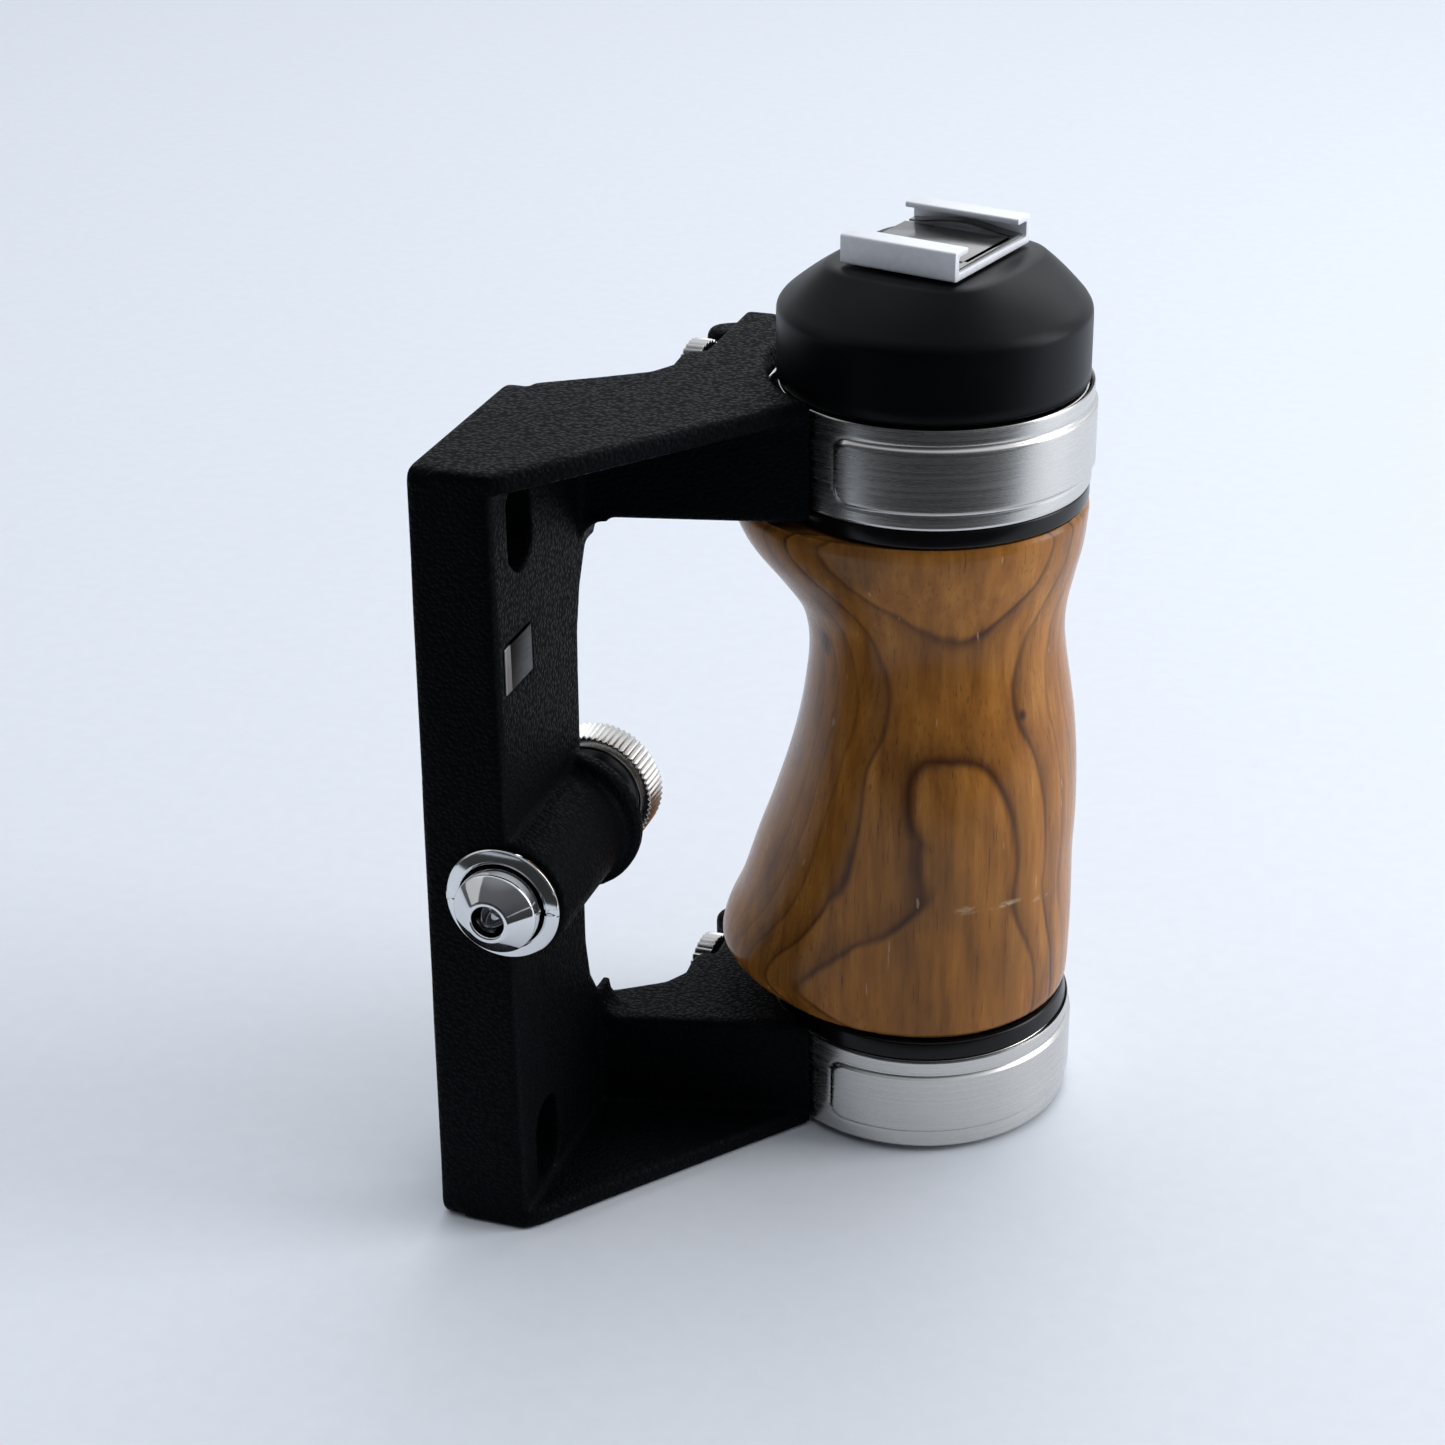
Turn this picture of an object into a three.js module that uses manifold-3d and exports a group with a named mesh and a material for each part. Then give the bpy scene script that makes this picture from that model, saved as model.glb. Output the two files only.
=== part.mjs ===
// Camera side bracket with a swivelling wooden hand grip, a cold shoe and a release button.
// Millimetres. +Z is up along the grip, +X runs from the camera plate to the grip, and the
// origin is the centre of the grip's foot, on the axis the grip swivels about.
import * as THREE from "three";
import { mergeVertices } from "three/addons/utils/BufferGeometryUtils.js";
import Module from "manifold-3d";

const wasm = await Module();
wasm.setup();

// ---- driving dimensions -------------------------------------------------------------
const FRAME_H = 113;          // height of the C-shaped casting
const ARM_H = 17.35;          // height of each arm
const LEDGE = 3;              // thickness of the triangular gusset on each arm
const PLATE_OUT = -53.55;     // camera side of the plate at mid height
const PLATE_IN = -41.4;       // finger side of the plate
const FRONT = -56.3;          // front of the plate
const DRAFT = 0.015;          // slope of the camera side, thinner towards the top
const SADDLE_R = 22.4;        // hollow in each arm tip that hugs the strap
const STRAP_R = 21.9;          // outside of the plain strap edges
const PANEL_R = 22.3;         // outside of the raised middle of the strap
const STRAP_IN = 21.45;       // inside of the strap
const JOURNAL_R = 21.1;       // steel journal that turns inside the strap
const STRAP_LOW = [1.05, 15.3];
const STRAP_TOP = [97.48, 111.35];
const PANEL_LOW = [3.67, 12.87];
const PANEL_TOP = [99.82, 108.77];
const WHEEL_Z = { bottom: 8.5, top: 104.5 };
const WHEEL_Y = 1.05;         // the thumbwheel axes run along X at this Y
const WHEEL_R = 7.9;
const BOSS = [-42.2, 52.8];   // X and Z of the release axis, which runs along Y
const RIVET_AT = (218 * Math.PI) / 180;  // where the strap's hidden end is riveted
const SHOE_TURN = -13.9;      // degrees the grip is swivelled to in the rest pose
const SHOE_W = 20.85, SHOE_L = 17.3, SHOE_Z = 128.3, SHOE_H = 4;

// ---- small toolkit ------------------------------------------------------------------
function solid(geometry) {
  const g = geometry.clone();
  g.deleteAttribute("normal");
  g.deleteAttribute("uv");
  const m = mergeVertices(g, 1e-4);
  const p = m.attributes.position.array;
  const tris = [];
  let volume = 0;
  for (let i = 0; i < m.index.count; i += 3) {
    const [a, b, c] = [m.index.getX(i), m.index.getX(i + 1), m.index.getX(i + 2)];
    if (a === b || b === c || c === a) continue;
    tris.push(a, b, c);
    const [A, B, C] = [a, b, c].map((k) => new THREE.Vector3().fromArray(p, 3 * k));
    volume += A.dot(B.cross(C)) / 6;
  }
  if (volume < 0) for (let i = 0; i < tris.length; i += 3) [tris[i], tris[i + 1]] = [tris[i + 1], tris[i]];
  return new wasm.Manifold(new wasm.Mesh({
    numProp: 3, vertProperties: new Float32Array(p), triVerts: new Uint32Array(tris),
  }));
}
const join = (...parts) => parts.reduce((a, b) => a.add(b));
const cut = (body, ...tools) => tools.reduce((a, b) => a.subtract(b), body);

function outline(points) {
  return new THREE.Shape(points.map(([x, y]) => new THREE.Vector2(x, y)));
}
function arc(cx, cy, r, from, to, steps) {
  const out = [];
  for (let i = 0; i <= steps; i++) {
    const a = ((from + ((to - from) * i) / steps) * Math.PI) / 180;
    out.push([cx + r * Math.cos(a), cy + r * Math.sin(a)]);
  }
  return out;
}
// Prism standing on z0, with optional rounded rims.
function slab(points, z0, z1, bevel = 0, steps = 3) {
  const g = new THREE.ExtrudeGeometry(outline(points), {
    depth: z1 - z0 - 2 * bevel, bevelEnabled: bevel > 0, bevelThickness: bevel, bevelSize: bevel,
    bevelOffset: -bevel, bevelSegments: steps, steps: 1,
  });
  return g.translate(0, 0, z0 + bevel);
}
// The same prism with its outline in (Y, Z) and its length along X, or outline in (X, Z) along Y.
const alongX = new THREE.Matrix4().makeBasis(
  new THREE.Vector3(0, 1, 0), new THREE.Vector3(0, 0, 1), new THREE.Vector3(1, 0, 0));
const alongY = new THREE.Matrix4().makeBasis(
  new THREE.Vector3(1, 0, 0), new THREE.Vector3(0, 0, 1), new THREE.Vector3(0, -1, 0));
const slabX = (points, x0, x1, bevel, steps) => slab(points, x0, x1, bevel, steps).applyMatrix4(alongX);
const slabY = (points, y0, y1, bevel, steps) => slab(points, -y1, -y0, bevel, steps).applyMatrix4(alongY);

function box(x0, x1, y0, y1, z0, z1) {
  return new THREE.BoxGeometry(x1 - x0, y1 - y0, z1 - z0)
    .translate((x0 + x1) / 2, (y0 + y1) / 2, (z0 + z1) / 2);
}
// Turned shape: profile points are [radius, height]; axis is "x", "y" or "z".
function turned(profile, axis, at, segments = 40) {
  const g = new THREE.LatheGeometry(profile.map(([r, h]) => new THREE.Vector2(r, h)), segments);
  if (axis === "z") g.rotateX(Math.PI / 2);
  if (axis === "x") g.rotateZ(-Math.PI / 2);
  return g.translate(...at);
}
const rod = (r, from, to, axis, at, segments = 36) =>
  turned([[0, from], [r, from], [r, to], [0, to]], axis, at, segments);
function tube(r0, r1, from, to, axis, at, segments = 48) {
  return turned([[r0, from], [r1, from], [r1, to], [r0, to], [r0, from]], axis, at, segments);
}
const knurl = (r, depth, teeth) => {
  const pts = [];
  for (let i = 0; i < teeth * 2; i++) {
    const a = (i * Math.PI) / teeth;
    const q = i % 2 ? r : r - depth;
    pts.push([q * Math.cos(a), q * Math.sin(a)]);
  }
  return pts;
};

const finishes = {
  crackle: [0x17181a, 0.62, 0.1],
  satin_black: [0x141416, 0.38, 0.3],
  ring_black: [0x0e0e10, 0.25, 0.1],
  steel: [0xb9b8b4, 0.34, 1],
  chrome: [0xd9dbde, 0.12, 1],
  oak: [0x9a5a28, 0.42, 0],
  dark_steel: [0x4a4d52, 0.4, 1],
  label: [0x8f9194, 0.4, 0.7],
};
const group = new THREE.Group();
function piece(name, body, finish) {
  const mesh = body.getMesh();
  const g = new THREE.BufferGeometry();
  g.setAttribute("position", new THREE.BufferAttribute(new Float32Array(mesh.vertProperties), 3));
  g.setIndex(new THREE.BufferAttribute(new Uint32Array(mesh.triVerts), 1));
  g.computeVertexNormals();
  const [color, roughness, metalness] = finishes[finish];
  const m = new THREE.Mesh(g, new THREE.MeshStandardMaterial({ color, roughness, metalness }));
  m.name = name;
  group.add(m);
}

// ---- the C-shaped casting -----------------------------------------------------------
const inner = [[-7, -6], [-16, -2], [-22.3, 0], [-23.7, 6.8], [-25.6, 13.2]];
const rear = [
  ...inner, [-26.6, 14.4], [-31.3, 14.4], [-31.3, -3.6],
  [-33.6, -4.3], [-34.1, -6.2], [-33.8, -10.2], [-35.7, -13.6], [-41.5, -17.6], [-50, -22.4],
];
const gusset = [[-50, FRONT], [-41.4, FRONT], [-39.8, -55], [-7, -13.4], ...rear];
const web = [[-50, -29], [-43.5, -27.4], [-40.5, -26.2], [-7, -18.65], ...rear];
const hollow = (z0, z1) => turned([[0, z0 - 1], [SADDLE_R + 0.6, z0 - 1], [SADDLE_R + 0.6, z0],
  [SADDLE_R, z0 + 0.6], [SADDLE_R, z1 - 0.6], [SADDLE_R + 0.6, z1], [SADDLE_R + 0.6, z1 + 1], [0, z1 + 1]],
  "z", [0, 0, 0], 96);

const side = [
  ...arc(FRONT + 1.8, 1.8, 1.8, 180, 270, 3), ...arc(-24.7, 1.8, 1.8, 270, 360, 3),
  [-22.9, 16.4], [-24.4, 20.4], [-28, 26], [-29.2, 32], [-29, 45], [-28.4, 70], [-28, 80],
  [-26.6, 86], [-23.9, 91.5], [-22.9, 96.4],
  ...arc(-24.7, FRAME_H - 1.8, 1.8, 0, 90, 3), ...arc(FRONT + 1.8, FRAME_H - 1.8, 1.8, 90, 180, 3),
];
const [bx, bz] = BOSS;
let casting = solid(slabX(side, PLATE_OUT, PLATE_IN, 1.0, 3));
for (const where of ["bottom", "top"]) {
  const up = where === "bottom";
  const flat = (lo, hi) => (up ? [lo, hi] : [FRAME_H - hi, FRAME_H - lo]);
  const arm = join(solid(slab(gusset, ...flat(0, LEDGE), 0.8)), solid(slab(web, ...flat(0, ARM_H), 0.9)));
  casting = casting.add(cut(arm, solid(hollow(...flat(0, ARM_H)))));
  // round fillet in each inner corner of the opening
  const k = up ? ARM_H : FRAME_H - ARM_H, s = up ? 1 : -1;
  const corner = [[PLATE_IN - 1, k - s], ...arc(PLATE_IN + 4, k + 4 * s, 4, up ? 270 : 90, 180, 6),
    [PLATE_IN - 1, k + 4 * s]];
  casting = casting.add(solid(slabY(corner, -26.6, -21.4)));
  // rounded rear guard behind the thumbwheel
  const zc = WHEEL_Z[where];
  const guard = [[-28, 9.7], [-34.6, 9.7], ...arc(-33.6, 12.6, 2.9, 210, 110, 5), [-31.5, 16.9],
    [-27.4, 15.6], [-26, 13.6]];
  casting = casting.add(solid(slab(guard, zc - 6.2, zc + 6.2, 1.2)));
  casting = cut(casting,
    solid(rod(WHEEL_R + 0.5, -40, -31.3, "x", [0, WHEEL_Y, zc])),
    solid(rod(1.9, -33, -20, "x", [0, WHEEL_Y, zc], 24)),
    solid(box(-28, -19, -3.5, 5.7, zc - 5.3, zc + 5.3)));
  casting = cut(casting, solid(rod(1.8, 20, 25, "x", [0, 0, 0], 20)
    .rotateZ(RIVET_AT).translate(0, 0, zc)));
}
// boss for the release, with its rear flange
casting = join(casting,
  solid(turned([[0, -55.9], [8.3, -55.9], [8.7, -55.4], [8.7, -33.3], [9.9, -33.3], [10.4, -32.8],
    [10.4, -30.9], [9.9, -30.4], [0, -30.4]], "y", [bx, 0, bz])));
casting = cut(casting,
  solid(rod(7.1, -60, -50, "y", [bx, 0, bz])),
  solid(rod(6.1, -51, -38, "y", [bx, 0, bz])),
  solid(rod(3.4, -39, -20, "y", [bx, 0, bz], 32)),
  solid(rod(6.6, -30.5, -20, "y", [bx, 0, bz])));
// two slots for the screws that hold the camera, stepped for their heads
const slot = (half, z0, z1) => [...arc(-47, z0 + half, half, 180, 360, 10), ...arc(-47, z1 - half, half, 0, 180, 10)];
for (const [z0, z1] of [[96.9, 109.6], [3.4, 16.1]]) {
  casting = cut(casting,
    solid(slabX(slot(4, z0, z1), -46.4, -38)),
    solid(slabX(slot(3.3, z0 + 0.7, z1 - 0.7), -60, -45)));
}
// shallow seat for the blank plate
casting = cut(casting, solid(box(-42, -40, -54, -44.6, 81.6, 88.7)));
{
  const mesh = casting.getMesh();
  const v = mesh.vertProperties;
  for (let i = 0; i < v.length; i += 3) {
    if (v[i] < -46) v[i] += DRAFT * (v[i + 2] - FRAME_H / 2);
  }
  casting = new wasm.Manifold(new wasm.Mesh({ numProp: 3, vertProperties: v, triVerts: mesh.triVerts }));
}
piece("bracket_frame", casting, "crackle");
piece("name_plate", solid(box(-41.7, -41.3, -53.7, -44.9, 81.9, 88.4)), "label");

// ---- clamps -------------------------------------------------------------------------
for (const where of ["top", "bottom"]) {
  const zc = WHEEL_Z[where];
  const [s0, s1] = where === "top" ? STRAP_TOP : STRAP_LOW;
  const [p0, p1] = where === "top" ? PANEL_TOP : PANEL_LOW;
  const ring = (r0, r1, from, to, steps) => [...arc(0, 0, r1, from, to, steps), ...arc(0, 0, r0, to, from, steps)];
  let strap = join(
    solid(slab(ring(STRAP_IN, STRAP_R, -148, 168.5, 62), s0, s1, 0.15, 1)),
    solid(slab(ring(STRAP_IN + 0.2, PANEL_R, -111, 150, 52), p0, p1, 0.2, 2)));
  const tab = solid(box(21.6, 25.4, -0.55, 0, zc - 4.3, zc + 4.3).rotateZ((168.6 * Math.PI) / 180));
  const rivetHole = solid(rod(1.7, 20, 23, "x", [0, 0, 0], 20).rotateZ(RIVET_AT).translate(0, 0, zc));
  strap = cut(strap.add(tab), rivetHole);
  piece(`${where}_strap`, strap, "steel");
  piece(`${where}_strap_rivet`, solid(rod(1.4, 21.7, 24.7, "x", [0, 0, 0], 20)
    .rotateZ(RIVET_AT).translate(0, 0, zc)), "steel");
  piece(`${where}_clamp_nut`, cut(solid(box(-27.6, -22.9, -3.1, 4.1, zc - 4.6, zc + 4.6)),
    solid(rod(1.8, -30, -20, "x", [0, WHEEL_Y, zc], 24))), "steel");
  piece(`${where}_clamp_stud`, cut(
    solid(turned([[0, -36], [1.2, -36], [1.5, -35.7], [1.5, -23.4], [0, -23.4]], "x", [0, WHEEL_Y, zc], 24)),
    solid(box(-37, -35.4, WHEEL_Y - 2, WHEEL_Y + 2, zc - 0.25, zc + 0.25))), "steel");
  piece(`${where}_clamp_wheel`, cut(
    solid(slabX(knurl(WHEEL_R, 0.35, 36), -35.3, -32.6, 0.3, 1).translate(0, WHEEL_Y, zc)),
    solid(rod(1.8, -37, -30, "x", [0, WHEEL_Y, zc], 24)),
    solid(turned([[0, -36], [5.6, -36], [5, -34.8], [0, -34.8]], "x", [0, WHEEL_Y, zc], 40))), "steel");
  piece(`${where}_clamp_washer`, solid(tube(1.8, 4, -32.3, -31.6, "x", [0, WHEEL_Y, zc], 32)), "steel");
}

// ---- release ------------------------------------------------------------------------
const onBoss = [bx, 0, bz];
piece("release_collar", cut(
  solid(turned([[6.15, -57.15], [6.5, -57.25], [7.9, -56.85], [8.07, -56.7], [8.07, -56.3],
    [6.8, -56.3], [6.8, -50.6], [6.15, -50.6], [6.15, -57.15]], "y", onBoss)),
  solid(box(bx - 9, bx + 9, -58, -56.75, bz - 0.45, bz + 0.45))), "chrome");
piece("release_button", cut(
  solid(turned([[0, -47.6], [5.78, -47.6], [5.78, -59.5], [5.66, -59.65], [2.95, -62.0], [2.75, -62.06],
    [0, -62.06]], "y", onBoss)),
  solid(turned([[0, -63], [2.5, -63], [2.15, -61.6], [1.9, -56], [0, -55.5]], "y", onBoss, 32)),
  solid(rod(2.3, -50, -47, "y", onBoss, 32))), "chrome");
piece("release_plunger", solid(turned([[0, -49.6], [1.95, -49.6], [1.95, -47.2], [1.5, -47.0],
  [1.5, -22.5], [1.1, -22.0], [0, -22.0]], "y", onBoss, 32)), "steel");
piece("plunger_clip", solid(turned([[1.85, -46.6], [3.6, -46.6], [3.6, -45.8], [1.85, -45.8],
  [1.85, -46.6]], "y", onBoss, 32)), "steel");
{
  const turns = 3, r = 4.7, y0 = -44.9, y1 = -41.7, pts = [];
  for (let i = 0; i <= turns * 10; i++) {
    const a = (i * Math.PI) / 5;
    pts.push(new THREE.Vector3(bx + r * Math.cos(a), y0 + ((y1 - y0) * i) / (turns * 10), bz + r * Math.sin(a)));
  }
  const wire = new THREE.Shape().absarc(0, 0, 0.42, 0, Math.PI * 2, false);
  piece("return_spring", solid(new THREE.ExtrudeGeometry(wire, {
    steps: turns * 10, curveSegments: 3, bevelEnabled: false, extrudePath: new THREE.CatmullRomCurve3(pts),
  })), "steel");
}
piece("rear_neck", solid(turned([[1.9, -37.6], [3.1, -37.6], [3.1, -30.1], [6.2, -30.1], [6.2, -28.4],
  [4.4, -27.6], [4.4, -18.5], [1.9, -18.5], [1.9, -37.6]], "y", onBoss, 40)), "steel");
piece("cable_wheel", cut(
  solid(slabY(knurl(9.05, 0.4, 40), -24.2, -19.1, 0.35, 1).translate(bx, 0, bz)),
  solid(rod(7.4, -25, -22.1, "y", onBoss)),
  solid(rod(4.7, -26, -17, "y", onBoss, 40))), "chrome");
piece("cable_wheel_insert", solid(turned([[4.75, -22.4], [7.1, -22.4], [7.1, -23.8], [6.8, -23.9],
  [5.0, -23.1], [4.75, -22.8], [4.75, -22.4]], "y", onBoss)), "dark_steel");

// ---- grip ---------------------------------------------------------------------------
// Radius of the wood at each height towards the left, front, right and back of the bracket.
const grip = [
  // z, left, front, right, back
  [18.4, 21.9, 19.9, 20.2, 21.4],
  [19.2, 24.0, 20.8, 21.1, 22.8],
  [21.4, 27.3, 21.0, 21.4, 23.8],
  [24.4, 29.4, 21.1, 21.5, 24.3],
  [28, 28.9, 21.2, 21.6, 24.2],
  [33, 26.7, 21.3, 21.6, 23.8],
  [40, 24.4, 21.5, 21.5, 23.3],
  [47, 21.9, 21.7, 21.7, 22.8],
  [55, 19.4, 21.4, 21.5, 22.2],
  [61, 18.0, 20.7, 21.0, 21.6],
  [66, 17.2, 19.6, 20.3, 21.0],
  [71, 16.7, 18.4, 19.5, 20.4],
  [75, 16.9, 17.9, 19.1, 20.0],
  [79, 18.1, 18.1, 19.3, 20.2],
  [83.5, 21.4, 19.0, 20.2, 20.9],
  [88, 25.0, 20.5, 21.2, 21.8],
  [91.5, 26.8, 21.4, 21.6, 22.2],
  [93.6, 27.0, 21.6, 21.7, 22.2],
  [94.45, 26.3, 21.3, 21.3, 21.8],
];
{
  const profile = [[0, grip[0][0]], ...grip.map((row) => [1, row[0]]), [0, grip[grip.length - 1][0]]];
  const g = turned(profile, "z", [0, 0, 0], 44);
  const p = g.attributes.position;
  const faces = [195, 285, 15, 105];
  for (let i = 0; i < p.count; i++) {
    const x = p.getX(i), y = p.getY(i), z = p.getZ(i);
    if (Math.hypot(x, y) < 0.5) continue;
    const row = grip.find((q) => Math.abs(q[0] - z) < 0.01);
    const a = Math.atan2(y, x);
    let r = 0;
    faces.forEach((f, k) => { r += row[k + 1] * Math.max(0, Math.cos(a - (f * Math.PI) / 180)) ** 2; });
    p.setXY(i, r * Math.cos(a), r * Math.sin(a));
  }
  piece("wood_grip", cut(solid(g), solid(rod(4.4, 10, 100, "z", [0, 0, 0], 32))), "oak");
}
for (const where of ["top", "bottom"]) {
  const top = where === "top";
  const spacer = top
    ? [[17.1, 94.8], [21.5, 94.8], [21.67, 95], [21.67, 97.3], [17.1, 97.3], [17.1, 94.8]]
    : [[17.1, 15.5], [21.56, 15.5], [21.1, 17.9], [20.9, 18.1], [17.1, 18.1], [17.1, 15.5]];
  piece(`${where}_spacer`, solid(turned(spacer, "z", [0, 0, 0], 60)), "ring_black");
  piece(`${where}_journal`, solid(tube(17.1, JOURNAL_R, top ? 97.6 : 1.1, top ? 111.1 : 15.2, "z", [0, 0, 0], 60)), "steel");
}
piece("foot_plug", cut(
  solid(turned([[0, 0], [16, 0], [16.8, 0.8], [16.8, 17.9], [0, 17.9]], "z", [0, 0, 0])),
  solid(rod(4.3, 3.6, 20, "z", [0, 0, 0], 32)),
  ...[-10.5, 10.5].map((x) => solid(rod(1.7, -1, 3, "z", [x, 0, 0], 20)))), "satin_black");
piece("tie_rod", solid(rod(4, 4, 124, "z", [0, 0, 0], 32)), "steel");

// Cap: a round skirt, then four nearly flat sides that lean in to a rounded square.
const CAP_R = 21.2;
{
  const ring = (t) => [CAP_R - 9.2 * t, 121.65 + 6.35 * t + 0.35 * Math.sin(Math.PI * t)];
  const profile = [[20.9, 111.6], [CAP_R, 111.9], [CAP_R, 120.9], [CAP_R - 0.1, 121.4], [CAP_R - 0.4, 121.85],
    ...[0.1, 0.25, 0.4, 0.55, 0.7, 0.85, 1].map(ring)];
  const g = turned([[0, 111.6], ...profile, [0, 128]], "z", [0, 0, 0], 64);
  const p = g.attributes.position;
  for (let i = 0; i < p.count; i++) {
    const x = p.getX(i), y = p.getY(i), r = Math.hypot(x, y);
    if (r < 0.5 || p.getZ(i) < 121.5) continue;
    const a = Math.atan2(y, x), local = a - (SHOE_TURN * Math.PI) / 180;
    const t = (CAP_R - r) / 9.2;
    const c = Math.abs(Math.cos(local)) / 12.2, s = Math.abs(Math.sin(local)) / 12.9;
    const q = r + t * (1 / (c ** 4 + s ** 4) ** 0.25 - 12);
    p.setX(i, q * Math.cos(a));
    p.setY(i, q * Math.sin(a));
  }
  piece("cap", cut(
    join(solid(g), solid(turned([[0, 95.1], [16.8, 95.1], [16.8, 112], [0, 112]], "z", [0, 0, 0]))),
    solid(rod(4.3, 90, 124.4, "z", [0, 0, 0], 32)),
    ...[-5, 5].map((d) => solid(rod(1.2, 122.5, 130, "z", [0, d, 0], 20).rotateZ((SHOE_TURN * Math.PI) / 180)))),
    "satin_black");
}

// ---- shoe ---------------------------------------------------------------------------
const turnShoe = (g) => g.rotateZ((SHOE_TURN * Math.PI) / 180);
{
  const w = SHOE_W / 2, z0 = SHOE_Z, z1 = SHOE_Z + SHOE_H;
  const section = [[-w + 0.4, z0], [w - 0.4, z0], [w, z0 + 0.4], [w, z1 - 0.4], [w - 0.4, z1], [w - 3.55, z1],
    [w - 3.55, z1 - 0.85], [w - 1.1, z1 - 0.85], [w - 1.1, z0 + 1], [-w + 1.1, z0 + 1], [-w + 1.1, z1 - 0.85],
    [-w + 3.55, z1 - 0.85], [-w + 3.55, z1], [-w + 0.4, z1], [-w, z1 - 0.4], [-w, z0 + 0.4]];
  const rail = slabX(section, -SHOE_L / 2, SHOE_L / 2, 0.2, 1);
  piece("shoe", cut(solid(turnShoe(rail)),
    ...[-5, 5].map((d) => solid(turnShoe(turned([[0, 120], [1.2, 120], [1.2, z0 + 0.2], [2.2, z0 + 0.85],
      [2.2, z0 + 2], [0, z0 + 2]], "z", [0, d, 0], 24))))), "chrome");
  [-5, 5].forEach((d, i) => piece(`shoe_screw_${i + 1}`, solid(turnShoe(turned([[0, 122.9], [0.9, 122.9],
    [0.9, z0 + 0.2], [1.75, z0 + 0.75], [0, z0 + 0.75]], "z", [0, d, 0], 24))), "steel"));
  const leaf = (t0, t1) => {
    const top = [], under = [];
    for (let i = 0; i <= 12; i++) {
      const s = -8 + (16 * i) / 12, rise = 0.95 * Math.cos((Math.PI * s) / 17) ** 2;
      top.push([s, z0 + 1.6 + rise]);
      under.unshift([s, z0 + 1.3 + rise]);
    }
    return slabY([...under.reverse(), ...top.reverse()], t0, t1);
  };
  const plate = box(-8.2, 8.2, -6.2, 6.2, z0 + 1.3, z0 + 1.6);
  const tie = box(7.4, 8.3, -8.9, 8.9, z0 + 1.3, z0 + 1.6);
  piece("shoe_spring", join(solid(turnShoe(plate)), solid(turnShoe(tie)),
    solid(turnShoe(leaf(-8.9, -7))), solid(turnShoe(leaf(7, 8.9)))), "chrome");
}

export default group;
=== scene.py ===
# %% [markdown]
# # A camera side bracket with a swivelling wooden grip
#
# The object is a C-shaped casting in black crackle paint. It bolts to the side of a camera.
# Two stainless straps clamp a shaped hardwood grip between its arms, so the grip can swivel.
# A satin black cap on the grip carries a cold shoe, and a chrome release button sits in a boss.
#
# Everything here is in metres, in the same frame as the CAD assembly: +Z is up along the grip,
# +X runs from the camera plate to the grip, and the swivel axis passes through the origin.
# Sizes are typed in millimetres and turned into metres by the constant MM.

# %% Load the assembly
import math

import bmesh
import bpy
from mathutils import Matrix, Vector


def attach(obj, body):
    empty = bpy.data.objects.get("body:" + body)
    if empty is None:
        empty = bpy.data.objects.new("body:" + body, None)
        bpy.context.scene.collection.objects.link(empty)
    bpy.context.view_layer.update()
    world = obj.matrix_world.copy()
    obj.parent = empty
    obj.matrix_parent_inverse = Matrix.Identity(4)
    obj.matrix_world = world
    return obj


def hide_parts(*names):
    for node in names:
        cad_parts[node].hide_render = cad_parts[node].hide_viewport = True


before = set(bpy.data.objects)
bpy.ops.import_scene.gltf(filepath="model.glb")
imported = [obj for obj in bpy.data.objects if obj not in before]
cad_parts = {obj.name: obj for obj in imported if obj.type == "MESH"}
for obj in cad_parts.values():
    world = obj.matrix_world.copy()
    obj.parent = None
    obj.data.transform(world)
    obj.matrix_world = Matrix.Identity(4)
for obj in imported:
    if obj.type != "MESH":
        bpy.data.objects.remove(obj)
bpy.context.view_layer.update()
MM = 0.001
scene = bpy.context.scene

# %% [markdown]
# ## Materials
#
# Each finish is a small node graph on object coordinates, so it needs no pictures.
# A helper starts a material with its Principled shader, and two more add the usual nodes.
# A surface that really is even, such as polished chrome, still gets a faint change in its
# roughness, because a perfectly even one looks like plastic under soft light.


# %% Material helpers
def start(name, **values):
    mat = bpy.data.materials.new(name)
    mat.use_nodes = True
    shader = mat.node_tree.nodes["Principled BSDF"]
    for socket, value in values.items():
        shader.inputs[socket.replace("_", " ")].default_value = value
    return mat, mat.node_tree, shader


def coordinates(tree, scale=(1, 1, 1), turn=(0, 0, 0)):
    where = tree.nodes.new("ShaderNodeTexCoord")
    mapping = tree.nodes.new("ShaderNodeMapping")
    mapping.inputs["Scale"].default_value = scale
    mapping.inputs["Rotation"].default_value = turn
    tree.links.new(where.outputs["Object"], mapping.inputs["Vector"])
    return mapping.outputs["Vector"]


def noise(tree, vector, scale, detail=4, rough=0.5, distort=0.0):
    node = tree.nodes.new("ShaderNodeTexNoise")
    node.inputs["Scale"].default_value = scale
    node.inputs["Detail"].default_value = detail
    node.inputs["Roughness"].default_value = rough
    node.inputs["Distortion"].default_value = distort
    tree.links.new(vector, node.inputs["Vector"])
    return node.outputs["Fac"]


def spread(tree, value, low, high, lo_in=0.3, hi_in=0.7):
    node = tree.nodes.new("ShaderNodeMapRange")
    node.inputs["From Min"].default_value = lo_in
    node.inputs["From Max"].default_value = hi_in
    node.inputs["To Min"].default_value = low
    node.inputs["To Max"].default_value = high
    tree.links.new(value, node.inputs["Value"])
    return node.outputs["Result"]


def swell(tree, value, start_at, full_at):
    """0 before start_at, 1 after full_at, with soft shoulders."""
    node = tree.nodes.new("ShaderNodeMapRange")
    node.interpolation_type = "SMOOTHSTEP"
    node.inputs["From Min"].default_value = start_at
    node.inputs["From Max"].default_value = full_at
    tree.links.new(value, node.inputs["Value"])
    return node.outputs["Result"]


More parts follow.
